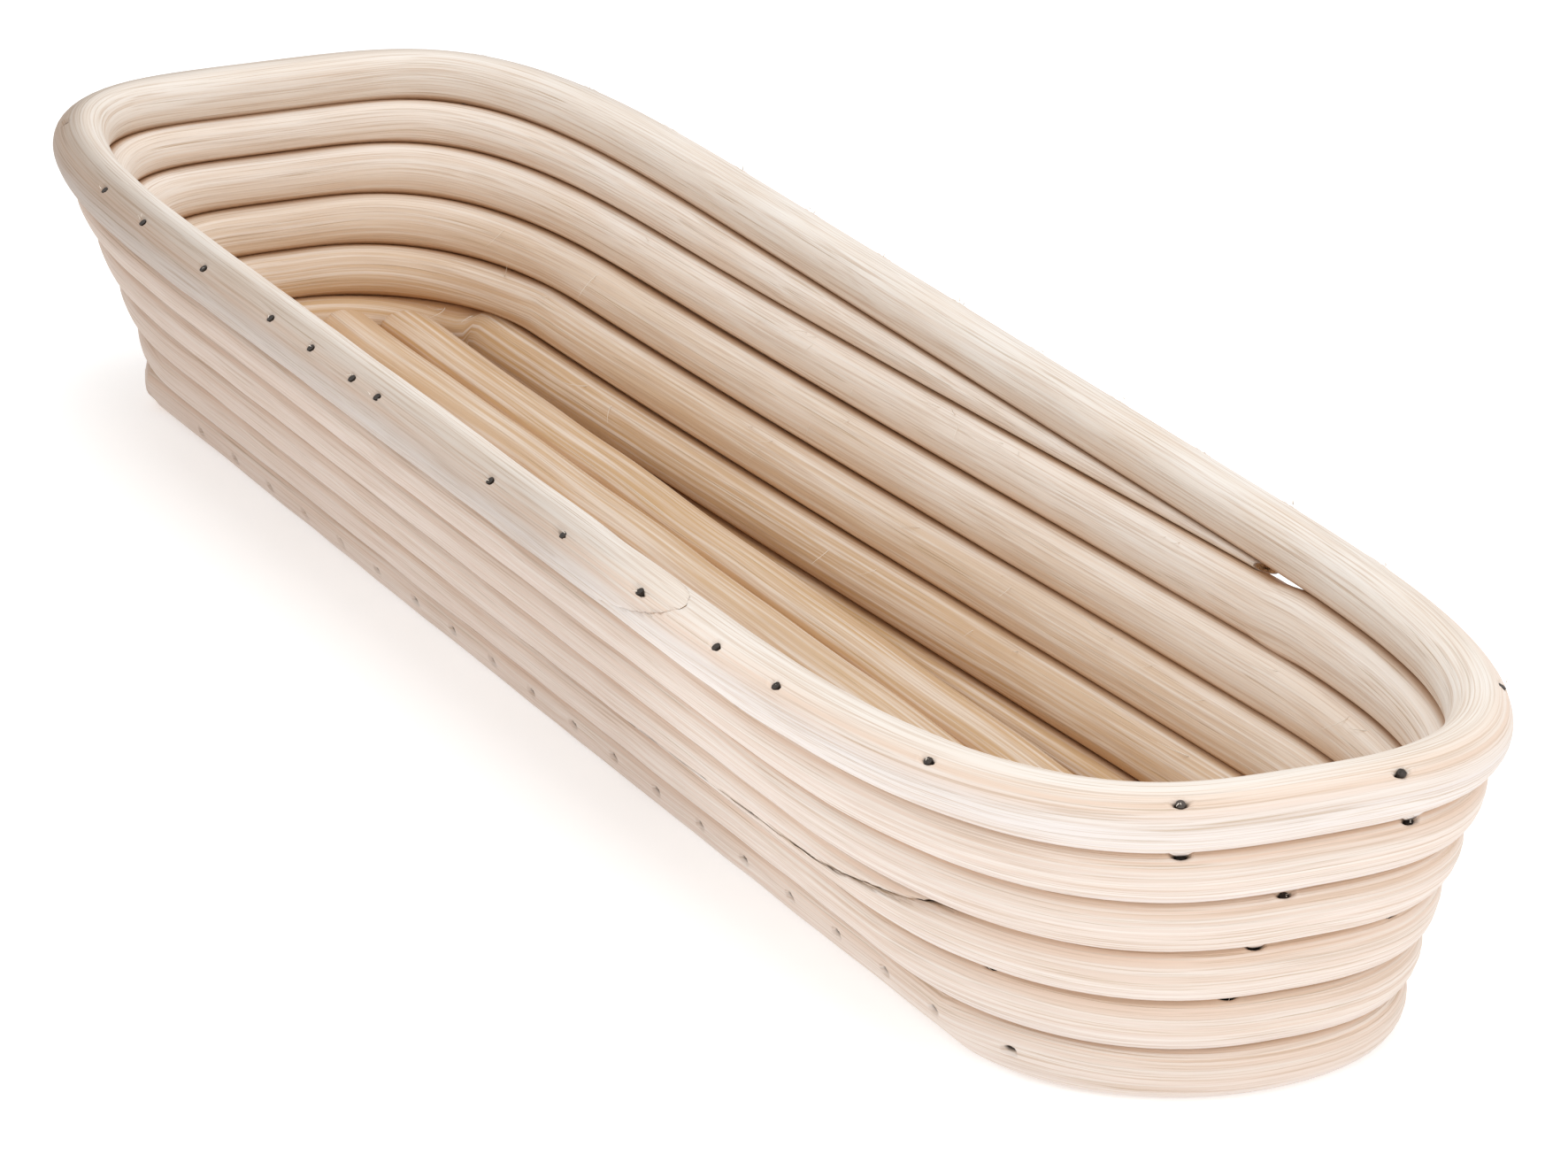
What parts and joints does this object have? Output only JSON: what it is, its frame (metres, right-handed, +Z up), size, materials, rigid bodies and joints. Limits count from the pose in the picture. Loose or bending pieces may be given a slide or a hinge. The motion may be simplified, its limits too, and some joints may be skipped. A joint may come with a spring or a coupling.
{
  "type": "banneton basket",
  "caption": "Long oval proofing basket coiled from round rattan cane, with flared walls and a cane floor, that holds bread dough while it rises",
  "frame": {"origin": "centre of the footprint, on the ground the basket stands on", "axes": "+X along the length towards the end where the rim lies over the blunt cane end, +Y towards the long side under which that end stops, +Z up"},
  "size_m": [0.4192, 0.1102, 0.0531],
  "materials": {
    "rattan": "peeled, unvarnished rattan core, satin",
    "brad_steel": "dull, slightly rusted wire brads"
  },
  "bodies": {
    "root": {"rim_cane": "rattan", "wall_cane_upper": "rattan", "wall_cane_lower": "rattan", "floor_cane_1": "rattan", "floor_cane_2": "rattan", "floor_cane_3": "rattan", "floor_cane_4": "rattan", "floor_cane_5": "rattan", "rim_brads": "brad_steel", "course_5_brads": "brad_steel", "course_4_brads": "brad_steel", "course_3_brads": "brad_steel", "course_2_brads": "brad_steel", "base_ring_brads": "brad_steel"}
  },
  "joints": []
}
